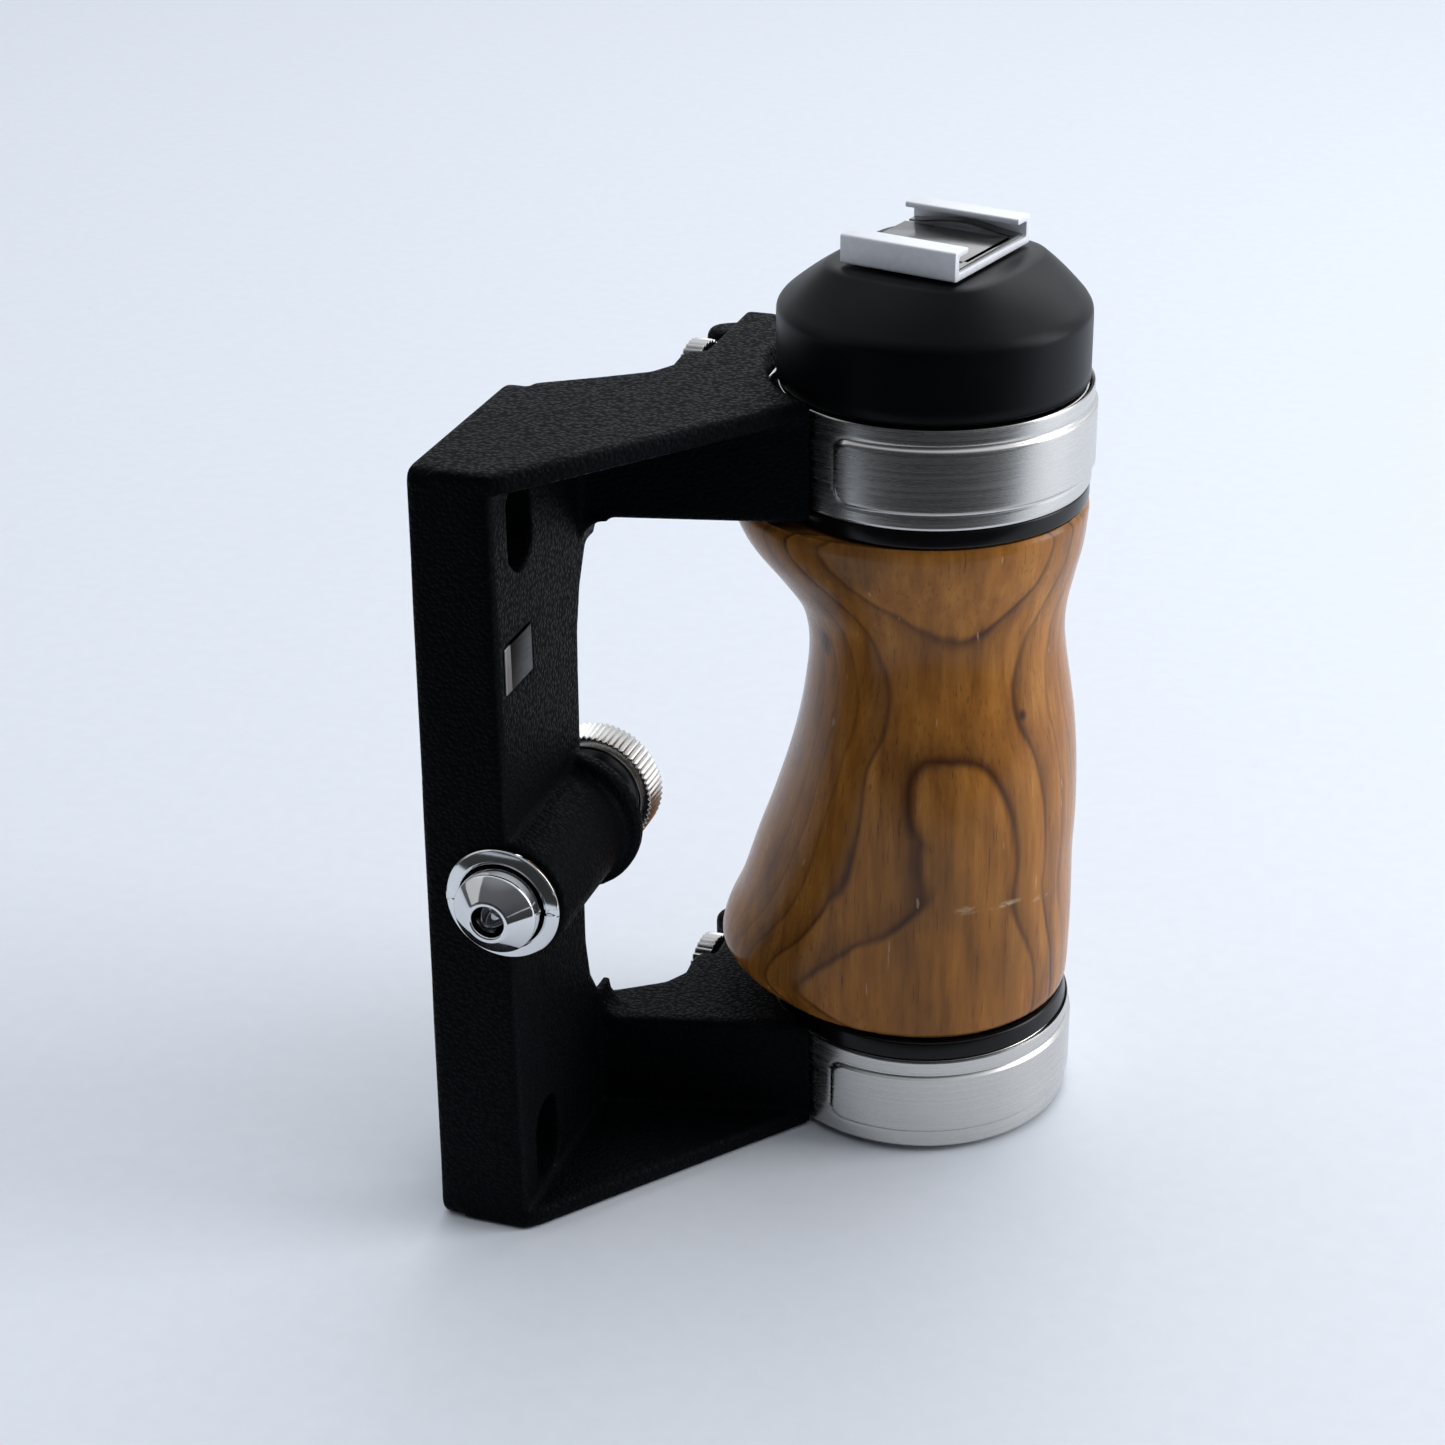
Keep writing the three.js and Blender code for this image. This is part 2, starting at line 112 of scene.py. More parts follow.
def maths(tree, kind, a, b=None):
    node = tree.nodes.new("ShaderNodeMath")
    node.operation = kind
    for socket, value in zip(node.inputs, (a, b)):
        if isinstance(value, (int, float)):
            socket.default_value = value
        elif value is not None:
            tree.links.new(value, socket)
    return node.outputs["Value"]


def ramp(tree, value, stops):
    node = tree.nodes.new("ShaderNodeValToRGB")
    first = node.color_ramp.elements
    for element, (place, colour) in zip(first, (stops[0], stops[-1])):
        element.position, element.color = place, (*colour, 1)
    for place, colour in stops[1:-1]:
        first.new(place).color = (*colour, 1)
    tree.links.new(value, node.inputs["Fac"])
    return node.outputs["Color"]


def bump(tree, shader, height, strength, distance):
    node = tree.nodes.new("ShaderNodeBump")
    node.inputs["Strength"].default_value = strength
    node.inputs["Distance"].default_value = distance * MM
    tree.links.new(height, node.inputs["Height"])
    tree.links.new(node.outputs["Normal"], shader.inputs["Normal"])


# %% [markdown]
# ### Crackle paint
#
# The casting has a baked wrinkle finish: small raised cells with fine shiny rims, on a nearly
# black base. Cells of about a millimetre come from a Voronoi pattern whose lookup is shaken by
# noise, with a finer layer on top. The tops of the cells are a little shinier than the
# valleys, which gives the small glints along the upper faces.

# %% Crackle paint
crackle, tree, shader = start("black crackle paint", Base_Color=(0.002, 0.0025, 0.0035, 1), IOR=1.14,
                              Specular_Tint=(0.80, 0.90, 1.0, 1))
place = coordinates(tree)
cells = tree.nodes.new("ShaderNodeTexVoronoi")
cells.feature = "SMOOTH_F1"
cells.inputs["Scale"].default_value = 1700
cells.inputs["Smoothness"].default_value = 0.35
tree.links.new(place, cells.inputs["Vector"])
fine = noise(tree, place, 3800, 3)
height = maths(tree, "ADD", cells.outputs["Distance"], maths(tree, "MULTIPLY", fine, 0.35))
bump(tree, shader, height, 0.9, 0.15)
tree.links.new(spread(tree, height, 0.36, 0.70, 0.3, 0.9), shader.inputs["Roughness"])
worn = noise(tree, coordinates(tree, (1, 1, 0.5)), 45, 4)
tree.links.new(ramp(tree, worn, [(0.3, (0.0007, 0.0010, 0.0015)), (0.75, (0.0022, 0.0028, 0.0038))]),
               shader.inputs["Base Color"])

# %% [markdown]
# ### Satin black paint and the black spacer rings
#
# The cap is sprayed satin black with a faint orange-peel texture. The spacer rings are moulded
# and a good deal shinier, so they pick up a crisp line of light.

# %% Satin and gloss black
satin, tree, shader = start("satin black paint", Base_Color=(0.0015, 0.002, 0.003, 1), IOR=1.22,
                            Specular_Tint=(0.88, 0.94, 1.0, 1))
place = coordinates(tree)
peel = noise(tree, place, 900, 2)
bump(tree, shader, peel, 0.12, 0.05)
tree.links.new(spread(tree, noise(tree, place, 60, 5), 0.33, 0.42), shader.inputs["Roughness"])
mottle = noise(tree, place, 120, 3)
tree.links.new(ramp(tree, mottle, [(0.3, (0.0008, 0.0010, 0.0014)), (0.8, (0.0018, 0.0021, 0.0028))]),
               shader.inputs["Base Color"])

gloss, tree, shader = start("semi-gloss black plastic", Base_Color=(0.0022, 0.0022, 0.0026, 1),
                            Specular_IOR_Level=0.25)
place = coordinates(tree, (1, 1, 6))
tree.links.new(spread(tree, noise(tree, place, 220, 4), 0.18, 0.27), shader.inputs["Roughness"])
bump(tree, shader, noise(tree, place, 500, 2), 0.06, 0.03)

# %% [markdown]
# ### Metals
#
# The straps are pressed from stainless band and brushed along their length, so their scratches
# run round the grip: the noise is squeezed hard in Z and stretched in X and Y. The same lines
# make the highlight spread across them, which the anisotropic setting adds.
# Turned parts have finer rings, and chrome is nearly a mirror. A near-black copy of the turned steel is
# painted shade on the cable wheel's hub.


# %% Metals
def brushed(name, colour, rough, lines, strength, stretch, around=0.0):
    mat, tree, shader = start(name, Metallic=1.0, Anisotropic=around)
    place = coordinates(tree, stretch)
    streaks = noise(tree, place, lines, 4, 0.6)
    tree.links.new(spread(tree, streaks, rough * 0.85, rough * 1.18), shader.inputs["Roughness"])
    dark = tuple(c * 0.90 for c in colour)
    tree.links.new(ramp(tree, streaks, [(0.25, dark), (0.75, colour)]), shader.inputs["Base Color"])
    bump(tree, shader, streaks, strength, 0.01)
    if around:
        tangent = tree.nodes.new("ShaderNodeTangent")
        tangent.direction_type, tangent.axis = "RADIAL", "Z"
        tree.links.new(tangent.outputs["Tangent"], shader.inputs["Tangent"])
    return mat


strap_steel = brushed("brushed strap steel", (0.64, 0.63, 0.61), 0.26, 26, 0.025, (1, 1, 130), 0.35)
bright_steel = brushed("turned bright steel", (0.62, 0.61, 0.59), 0.22, 700, 0.10, (1, 1, 1))
# Painted shade: this near-black copy of the turned steel stands in for the shaded face of the cable wheel's
# hub.
shade_darkened_steel = brushed("dark turned steel", (0.10, 0.10, 0.11), 0.32, 700, 0.15, (1, 4, 1))
chrome = brushed("polished chrome", (0.80, 0.81, 0.82), 0.075, 160, 0.02, (1, 1, 1))
spring_steel = brushed("spring steel", (0.20, 0.195, 0.19), 0.22, 600, 0.08, (1, 3, 1))
satin_chrome = brushed("satin chrome", (0.88, 0.90, 0.94), 0.40, 900, 0.12, (1, 1, 1))
satin_chrome.node_tree.nodes["Principled BSDF"].inputs["Metallic"].default_value = 0.1
plate_metal = brushed("blank satin plate", (0.30, 0.31, 0.33), 0.38, 500, 0.10, (1, 1, 12))
tree = plate_metal.node_tree
side = tree.nodes.new("ShaderNodeSeparateXYZ")
tree.links.new(coordinates(tree), side.inputs[0])
bare = spread(tree, side.outputs["Y"], 0.0, 1.0, -0.0520, -0.0519)
tree.links.new(ramp(tree, bare, [(0.0, (0.42, 0.43, 0.45)), (1.0, (0.006, 0.006, 0.007))]),
               tree.nodes["Principled BSDF"].inputs["Base Color"])

# %% [markdown]
# ### Oiled hardwood
#
# The grip is carved from one block, so its figure isn't painted on. It is where the block's
# growth rings meet the carved surface. The ring number here is the depth below a gently
# curved plane that faces the front, shaken by slow noise. On the flared top and bottom the
# rings come out as open U shapes, and round the waist as closed ones, as in real turned work.
# On top of the rings go long pores, a few darker streaks, one small knot and thin scratches.

# %% Wood
def spot(tree, centre, size):
    node = tree.nodes.new("ShaderNodeVectorMath")
    node.operation = "DISTANCE"
    scaled = coordinates(tree, tuple(1000 / s for s in size))
    node.inputs[1].default_value = tuple(c / s for c, s in zip(centre, size))
    tree.links.new(scaled, node.inputs[0])
    return spread(tree, node.outputs["Value"], 1.0, 0.0, 0.3, 1.0)


wood, tree, shader = start("oiled hardwood", IOR=1.42, Specular_IOR_Level=0.34)
place = coordinates(tree)
split = tree.nodes.new("ShaderNodeSeparateXYZ")
tree.links.new(coordinates(tree, (1000, 1000, 1000)), split.inputs[0])
x, y, z = (split.outputs[i] for i in range(3))
depth = maths(tree, "SUBTRACT", maths(tree, "MULTIPLY", x, 0.427), maths(tree, "MULTIPLY", y, 0.904))
across = maths(tree, "ADD", maths(tree, "MULTIPLY", x, 0.904), maths(tree, "MULTIPLY", y, 0.427))
bow = maths(tree, "MULTIPLY", maths(tree, "MULTIPLY", across, across), 0.009)
drift = noise(tree, coordinates(tree, (1, 1, 0.35)), 70, 3)
wander = maths(tree, "MULTIPLY", maths(tree, "SUBTRACT", drift, 0.5), 1.7)
dip = maths(tree, "MULTIPLY", swell(tree, z, 22, 42), swell(tree, z, 78, 64))
ring = maths(tree, "ADD", maths(tree, "ABSOLUTE", depth), bow)
ring = maths(tree, "ADD", maths(tree, "SUBTRACT", ring, maths(tree, "MULTIPLY", dip, 1.9)), wander)
ring = maths(tree, "SUBTRACT", ring, maths(tree, "MULTIPLY", spot(tree, (4, -21, 46), (13, 13, 17)), 1.3))
stops = [(0.0, (0.1,) * 3)]
for edge, dark in ((8.8, 0.35), (11.4, 0.45), (13.9, 0.6), (16.3, 1.0), (18.45, 1.0)):
    stops += [((edge - 1.3 - 6) / 18, (0.05,) * 3), ((edge - 0.40 - 6) / 18, (0.45 * dark,) * 3),
              ((edge - 0.12 - 6) / 18, (dark,) * 3), ((edge + 0.10 - 6) / 18, (0.02,) * 3)]
stops.append((1.0, (0.0,) * 3))
band = ramp(tree, spread(tree, ring, 0.0, 1.0, 6.0, 24.0), stops)
uneven = spread(tree, noise(tree, coordinates(tree, (1, 1, 0.25)), 120, 3), 0.62, 1.0, 0.35, 0.60)
rings = maths(tree, "MULTIPLY", band, uneven)
pores = noise(tree, coordinates(tree, (1, 1, 0.045)), 2600, 4, 0.7)
pore_mask = spread(tree, pores, 0.0, 1.0, 0.56, 0.70)
streak = noise(tree, coordinates(tree, (1, 1, 0.09)), 420, 5, 0.6)
base = ramp(tree, streak, [(0.25, (0.19, 0.070, 0.013)), (0.5, (0.37, 0.142, 0.023)),
                           (0.78, (0.53, 0.228, 0.042))])


def darker(tree, colour, mask, amount, tint):
    node = tree.nodes.new("ShaderNodeMix")
    node.data_type, node.blend_type = "RGBA", "MIX"
    tree.links.new(maths(tree, "MULTIPLY", mask, amount), node.inputs["Factor"])
    sockets = [s for s in node.inputs if s.type == "RGBA"]
    tree.links.new(colour, sockets[0])
    sockets[1].default_value = (*tint, 1)
    return [s for s in node.outputs if s.type == "RGBA"][0]


patches = noise(tree, coordinates(tree, (1, 1, 0.4)), 55, 4, 0.6)
colour = darker(tree, base, swell(tree, patches, 0.46, 0.72), 0.62, (0.11, 0.050, 0.018))
colour = darker(tree, colour, rings, 0.92, (0.035, 0.010, 0.006))
colour = darker(tree, colour, pore_mask, 0.55, (0.05, 0.016, 0.008))
colour = darker(tree, colour, spot(tree, (-11, -13.6, 76), (1.6, 1.6, 2.6)), 0.85, (0.02, 0.008, 0.004))
colour = darker(tree, colour, spot(tree, (16.4, -10.7, 67.5), (0.9, 0.9, 1.1)), 0.8, (0.02, 0.008, 0.004))
hair = noise(tree, coordinates(tree, (1, 1, 0.16), (0.5, 0.25, 0)), 900, 2)
scratch = spread(tree, hair, 0, 1, 0.735, 0.76)
colour = darker(tree, colour, scratch, 0.35, (0.62, 0.45, 0.30))
scuff = noise(tree, coordinates(tree, (0.35, 0.35, 1)), 950, 4, 0.75)
for at, size in (((4.2, -18.5, 90.2), (0.5, 2.0, 2.4)), ((10.5, -17, 40), (2.6, 2.6, 1.2)),
                 ((14.7, -13.5, 39.6), (3.4, 3.4, 0.7)), ((18.4, -7.8, 38.4), (2.2, 3.0, 0.8))):
    mark = maths(tree, "MULTIPLY", spot(tree, at, size), spread(tree, scuff, 0, 1, 0.47, 0.60))
    colour = darker(tree, colour, mark, 0.75, (0.66, 0.50, 0.32))
tree.links.new(colour, shader.inputs["Base Color"])
tree.links.new(spread(tree, streak, 0.16, 0.28), shader.inputs["Roughness"])
sunk = maths(tree, "ADD", pore_mask, maths(tree, "MULTIPLY", rings, 0.4))
bump(tree, shader, maths(tree, "SUBTRACT", 1.0, sunk), 0.25, 0.06)
print("materials made:", len(bpy.data.materials))

# %% [markdown]
# ## Mesh helpers
#
# Most of the small parts are turned on a lathe, so one helper spins a profile of
# (radius, height) points about an axis. Sharp profile corners are broken first by a small
# radius, because every real edge catches a thin line of light. Another helper turns a bmesh
# into an object, gives it its finish, hangs it on its body and hides the CAD nodes it stands for.


# %% Helpers
def place_mesh(name, bm, body, finish, nodes=None, angle=32):
    bmesh.ops.remove_doubles(bm, verts=bm.verts, dist=1e-7)
    bmesh.ops.dissolve_degenerate(bm, dist=1e-8, edges=bm.edges)
    bmesh.ops.recalc_face_normals(bm, faces=bm.faces)
    mesh = bpy.data.meshes.new(name)
    bm.to_mesh(mesh)
    bm.free()
    mesh.shade_smooth()
    mesh.set_sharp_from_angle(angle=math.radians(angle))
    piece = bpy.data.objects.new(name, mesh)
    scene.collection.objects.link(piece)
    mesh.materials.append(finish)
    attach(piece, body)
    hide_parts(*(nodes or [name.replace("look_", "")]))
    return piece


def rounded(points, radius, steps=4):
    """A closed outline with every corner turned into a short arc."""
    out = []
    for i, p in enumerate(points):
        here, before, after = Vector(p), Vector(points[i - 1]), Vector(points[(i + 1) % len(points)])
        a, b = before - here, after - here
        if p[0] == 0 or a.length < 1e-9 or b.length < 1e-9 or abs(a.angle(b) - math.pi) < 0.15:
            out.append(here)
            continue
        r = min(radius, 0.45 * min(a.length, b.length))
        start_at, end_at = here + a.normalized() * r, here + b.normalized() * r
        for k in range(steps + 1):
            t = k / steps
            out.append(start_at * (1 - t) ** 2 + here * 2 * t * (1 - t) + end_at * t**2)
    return out


TO_AXIS = {"z": Matrix.Identity(3), "y": Matrix.Rotation(math.radians(-90), 3, "X"),
           "x": Matrix.Rotation(math.radians(90), 3, "Y")}


def spun(profile, steps, radius=0.0, closed=True):
    """Lathe work: the outline goes once round the Z axis."""
    bm = bmesh.new()
    points = rounded(profile, radius) if radius else [Vector(p) for p in profile]
    ring = [bm.verts.new((p[0] * MM, 0, p[1] * MM)) for p in points]
    pairs = list(zip(ring, ring[1:] + ring[:1])) if closed else list(zip(ring, ring[1:]))
    edges = [bm.edges.new(pair) for pair in pairs if max(pair[0].co.x, pair[1].co.x) > 1e-9]
    bmesh.ops.spin(bm, geom=ring + edges, cent=(0, 0, 0), axis=(0, 0, 1), angle=math.tau, steps=steps,
                   use_merge=True, use_duplicate=False)
    bmesh.ops.remove_doubles(bm, verts=bm.verts, dist=1e-7)
    return bm


def move(bm, axis, at):
    bmesh.ops.transform(bm, matrix=Matrix.Translation(Vector(at) * MM) @ TO_AXIS[axis].to_4x4(),
                        verts=bm.verts)
    return bm


def turned(name, profile, axis, at, body, finish, steps=96, radius=0.12):
    return place_mesh(f"look_{name}", move(spun(profile, steps, radius), axis, at), body, finish)


def block(size, at, radius, segments=3):
    bm = bmesh.new()
    bmesh.ops.create_cube(bm, size=1, matrix=Matrix.Translation(Vector(at) * MM)
                          @ Matrix.Diagonal([s * MM for s in size] + [1]))
    bmesh.ops.bevel(bm, geom=bm.edges, offset=radius * MM, offset_type="OFFSET", segments=segments,
                    profile=0.5, affect="EDGES", material=-1, clamp_overlap=True)
    return bm


# %% [markdown]
# ## The casting
#
# A sand or die casting has no sharp edge anywhere, and thick paint rounds it further.
# Its outline is already right in the CAD solid, so a copy of that is re-skinned as an even
# mesh of half-millimetre cells. Two rounds of vertex smoothing then ease every edge and
# fill every inner corner a little, which is just what thick paint does to a casting.

# %% Casting
bm = bmesh.new()
bm.from_mesh(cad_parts["bracket_frame"].data)
bmesh.ops.remove_doubles(bm, verts=bm.verts, dist=1e-6)
rough_mesh = bpy.data.meshes.new("rough casting")
bm.to_mesh(rough_mesh)
bm.free()
rough = bpy.data.objects.new("rough casting", rough_mesh)
scene.collection.objects.link(rough)
skin = rough.modifiers.new("even skin", "REMESH")
skin.mode = "VOXEL"
skin.voxel_size = 0.46 * MM
bpy.context.view_layer.update()
even = rough.evaluated_get(bpy.context.evaluated_depsgraph_get()).to_mesh()
bm = bmesh.new()
bm.from_mesh(even)
rough.evaluated_get(bpy.context.evaluated_depsgraph_get()).to_mesh_clear()
bpy.data.objects.remove(rough)
for _ in range(2):
    bmesh.ops.smooth_vert(bm, verts=bm.verts, factor=0.5, use_axis_x=True, use_axis_y=True, use_axis_z=True)
casting = place_mesh("look_bracket_frame", bm, "frame", crackle, angle=180)
print("casting has", len(casting.data.polygons), "faces")

# %% [markdown]
# The little plate in its seat is left blank. It is a thin satin sheet with eased edges.

# %% Blank plate
place_mesh("look_name_plate", block((0.4, 8.8, 6.5), (-41.5, -49.3, 85.15), 0.12), "frame", plate_metal)

# %% [markdown]
# ## The wooden grip
#
# The blank is turned first: one outline with the bore in the middle, closed at both ends.
# It is then carved. The table gives the radius towards the left, front, right and back at a
# few heights, and a smooth curve runs through each column. Between the four directions the
# radii blend with the square of a cosine, so the sides melt into each other.

# %% Grip
GRIP = [
    (18.4, 21.9, 19.9, 20.2, 21.4), (19.2, 24.0, 20.8, 21.1, 22.8), (21.4, 27.3, 21.0, 21.4, 23.8),
    (24.4, 29.4, 21.1, 21.5, 24.3), (28, 28.9, 21.2, 21.6, 24.2), (33, 26.7, 21.3, 21.6, 23.8),
    (40, 24.4, 21.5, 21.5, 23.3),
    (47, 21.9, 21.7, 21.7, 22.8), (55, 19.4, 21.4, 21.5, 22.2), (61, 18.0, 20.7, 21.0, 21.6),
    (66, 17.2, 19.6, 20.3, 21.0), (71, 16.7, 18.4, 19.5, 20.4), (75, 16.9, 17.9, 19.1, 20.0),
    (79, 18.1, 18.1, 19.3, 20.2), (83.5, 21.4, 19.0, 20.2, 20.9), (88, 25.0, 20.5, 21.2, 21.8),
    (91.5, 26.8, 21.4, 21.6, 22.2), (93.6, 27.0, 21.6, 21.7, 22.2), (94.45, 26.3, 21.3, 21.3, 21.8)]
SIDES = [math.radians(a) for a in (195, 285, 15, 105)]


def column(height, k):
    """The k-th radius at a height, on a curve that goes through the table's rows."""
    i = max(j for j in range(len(GRIP) - 1) if GRIP[j][0] <= height + 1e-6 or j == 0)
    z0, z1 = GRIP[i][0], GRIP[i + 1][0]
    t = min(1.0, max(0.0, (height - z0) / (z1 - z0)))

    def slope(j):
        if j == 0 or j == len(GRIP) - 1:
            return 0.0
        return (GRIP[j + 1][k] - GRIP[j - 1][k]) / (GRIP[j + 1][0] - GRIP[j - 1][0])

    a, b = GRIP[i][k], GRIP[i + 1][k]
    ma, mb = slope(i) * (z1 - z0), slope(i + 1) * (z1 - z0)
    return ((2 * t**3 - 3 * t**2 + 1) * a + (t**3 - 2 * t**2 + t) * ma + (3 * t**2 - 2 * t**3) * b
            + (t**3 - t**2) * mb)


foot_rows = [18.4, 18.55, 18.8, 19.2, 19.8, 20.5]
head_rows = [93.0, 93.6, 94.0, 94.3, 94.45]
heights = foot_rows + [21.2 + i * 0.9 for i in range(80)] + head_rows
blank = [(4.4, 18.4), (12, 18.4), *[(24, h) for h in heights], (12, 94.45), (4.4, 94.45)]
bm = spun(blank, 144)
for v in bm.verts:
    flat = Vector((v.co.x, v.co.y))
    if flat.length > 23 * MM:
        angle = math.atan2(v.co.y, v.co.x)
        radius = sum(column(v.co.z / MM, k + 1) * max(0.0, math.cos(angle - side)) ** 2
                     for k, side in enumerate(SIDES))
        flat = flat.normalized() * radius * MM
        # The back is eased a little, so that it stays within the grip's own depth.
        v.co.x, v.co.y = flat.x, min(flat.y, 23 * MM + (flat.y - 23 * MM) * 0.94)
grip = place_mesh("look_wood_grip", bm, "grip", wood, angle=60)
print("grip has", len(grip.data.polygons), "faces")

# %% [markdown]
# ## Rings, foot and rod
#
# The steel journals turn inside the straps. Black rings separate them from the wood.
# The foot plug closes the bottom. Its two holes for a pin spanner are not modelled.

# %% Rings and foot
for where, low, high, body_low, body_high in (("top", 97.6, 111.1, 94.8, 97.3),
                                              ("bottom", 1.1, 15.2, 15.5, 18.1)):
    turned(f"{where}_journal", [(17.1, low), (21.1, low), (21.1, high), (17.1, high)], "z", (0, 0, 0),
           "grip", bright_steel, 128, 0.3)
    wide = 21.65 if where == "top" else 21.5
    taper = 0.0 if where == "top" else 0.5
    turned(f"{where}_spacer", [(17.1, body_low), (wide, body_low), (wide - taper, body_high),
                               (17.1, body_high)],
           "z", (0, 0, 0), "grip", gloss, 128, 0.35)
turned("foot_plug", [(0, 0.02), (16.4, 0.02), (16.8, 0.6), (16.8, 17.9), (4.3, 17.9), (4.3, 3.6),
                     (0, 3.6)], "z",
       (0, 0, 0), "grip", satin, 128, 0.4)
turned("tie_rod", [(0, 4), (4, 4), (4, 124), (0, 124)], "z", (0, 0, 0), "grip", bright_steel,
       48, 0.3)

# %% [markdown]
# ## The cap
#
# The cap starts as a round skirt and leans in to a rounded square under the shoe.
# Between the brow and the shoe it has four nearly flat sides with round hips between them.
# Turning a blank and then moving its rings does the same: each ring above the brow slides
# from the circle towards the square. Two rounds of smoothing ease the brow.

# %% Cap
SHOE_TURN = math.radians(-13.9)
CAP_R = 21.2
cap_profile = [(4.3, 95.1), (16.7, 95.1), (16.8, 95.4), (16.8, 111.35), (16.9, 111.6), (20.7, 111.6),
               (21.0, 111.7), (CAP_R, 112.0), (CAP_R, 113.5), (CAP_R, 115.5), (CAP_R, 117.5),
               (CAP_R, 119.5), (CAP_R, 120.7), (CAP_R - 0.03, 121.0), (CAP_R - 0.1, 121.3),
               (CAP_R - 0.22, 121.57), (CAP_R - 0.42, 121.82)]
for k in range(1, 25):
    t = 0.045 + 0.955 * k / 24
    cap_profile.append((CAP_R - 9.2 * t, 121.65 + 6.35 * t + 0.35 * math.sin(math.pi * t)))
cap_profile += [(8, 128.0), (4.3, 128.0)]
bm = spun(cap_profile, 192)
for v in bm.verts:
    radius, height = math.hypot(v.co.x, v.co.y) / MM, v.co.z / MM
    if radius < 6 or height < 121.2:
        continue
    angle = math.atan2(v.co.y, v.co.x)
    local = angle - SHOE_TURN
    t = (CAP_R - radius) / 9.2 if radius > 11.9 else 1.0
    square = 1 / ((abs(math.cos(local)) / 12.2) ** 4 + (abs(math.sin(local)) / 12.9) ** 4) ** 0.25
    reach = radius + t * (square - 12)
    v.co = Vector((reach * math.cos(angle), reach * math.sin(angle), height)) * MM
smooth = [v for v in bm.verts if 120.4 * MM < v.co.z and math.hypot(v.co.x, v.co.y) > 10 * MM]
for _ in range(2):
    bmesh.ops.smooth_vert(bm, verts=smooth, factor=0.5, use_axis_x=True, use_axis_y=True, use_axis_z=True)
place_mesh("look_cap", bm, "grip", satin, angle=60)

# %% [markdown]
# ## Straps
#
# Each strap is a band of stainless sheet with its middle pressed outwards. The flat sheet is a
# fine grid; wrapping it round the grip gives the band, and the press lifts the panel by
# 0.3 mm with a soft shoulder and a rounded end. Solidify then gives the sheet its thickness.
# The far end is bent out into a tab where the thumbwheel's nut pulls it tight.


# %% Straps
def strap(where, z0, z1, p0, p1, middle):
    first, last = -148.0, 168.5
    columns, rows = 320, 72
    bm = bmesh.new()
    bmesh.ops.create_grid(bm, x_segments=columns, y_segments=rows, size=0.5)
    for v in bm.verts:
        u, w = v.co.x + 0.5, v.co.y + 0.5
        degrees, height = first + (last - first) * u, z0 + (z1 - z0) * w
        along = min(degrees + 111, 150 - degrees) * math.pi / 180 * 22
        up = min(height - p0, p1 - height)
        corner = 2.2
        if along < corner and up < corner:
            inside = corner - math.hypot(corner - along, corner - up)
        else:
            inside = min(along, up)
        press = min(1.0, max(0.0, (inside + 0.1) / 0.5))
        edge = min(height - z0, z1 - height)
        ease = 0.1 * max(0.0, 1 - edge / 0.25) ** 2
        crease = 0.07 * max(0.0, 1 - abs(inside + 0.25) / 0.3)
        radius = 21.84 + 0.44 * press * press * (3 - 2 * press) - ease - crease
        a = math.radians(degrees)
        v.co = Vector((radius * math.cos(a), radius * math.sin(a), height)) * MM
    bmesh.ops.recalc_face_normals(bm, faces=bm.faces)
    sample = bm.faces[:][0]
    if sample.normal.dot(sample.calc_center_median() * Vector((1, 1, 0))) < 0:
        bmesh.ops.reverse_faces(bm, faces=bm.faces)
    bmesh.ops.solidify(bm, geom=bm.faces, thickness=0.45 * MM)
    tab = block((3.6, 0.5, 8.6), (23.6, -0.28, middle), 0.15)
    bmesh.ops.rotate(tab, verts=tab.verts, cent=(0, 0, 0),
                     matrix=Matrix.Rotation(math.radians(168.6), 3, "Z"))
    flat = bpy.data.meshes.new("tab")
    tab.to_mesh(flat)
    tab.free()
    bm.from_mesh(flat)
    bpy.data.meshes.remove(flat)
    return place_mesh(f"look_{where}_strap", bm, "frame", strap_steel, angle=40)


# %% Both straps
WHEEL = {"top": 104.5, "bottom": 8.5}
strap("top", 97.48, 111.35, 99.82, 108.77, WHEEL["top"])
strap("bottom", 1.05, 15.3, 3.67, 12.87, WHEEL["bottom"])

# %% [markdown]
# ## Thumbwheels and their screws
#
# A knurled wheel is a turned disc with teeth cut along its rim. Spinning a dished disc with a
# few steps per tooth leaves points on the rim that can be pulled in to make the valleys.
# The rim's corners are eased first, so the teeth run out softly at both faces.


# %% Knurled wheels
def knurled(name, profile, rim, cut, teeth, axis, at, body, finish):
    bm = spun(profile, teeth * 6, 0.25)
    for v in bm.verts:
        radius = math.hypot(v.co.x, v.co.y)
        if radius > (rim - 0.35) * MM:
            turn = math.atan2(v.co.y, v.co.x) / math.tau * teeth % 1.0
            valley = 1 - min(1.0, abs(turn - 0.5) * 2 / 0.85)
            scale = (radius - cut * valley * MM) / radius
            v.co.x, v.co.y = v.co.x * scale, v.co.y * scale
    return place_mesh(f"look_{name}", move(bm, axis, at), body, finish, angle=30)


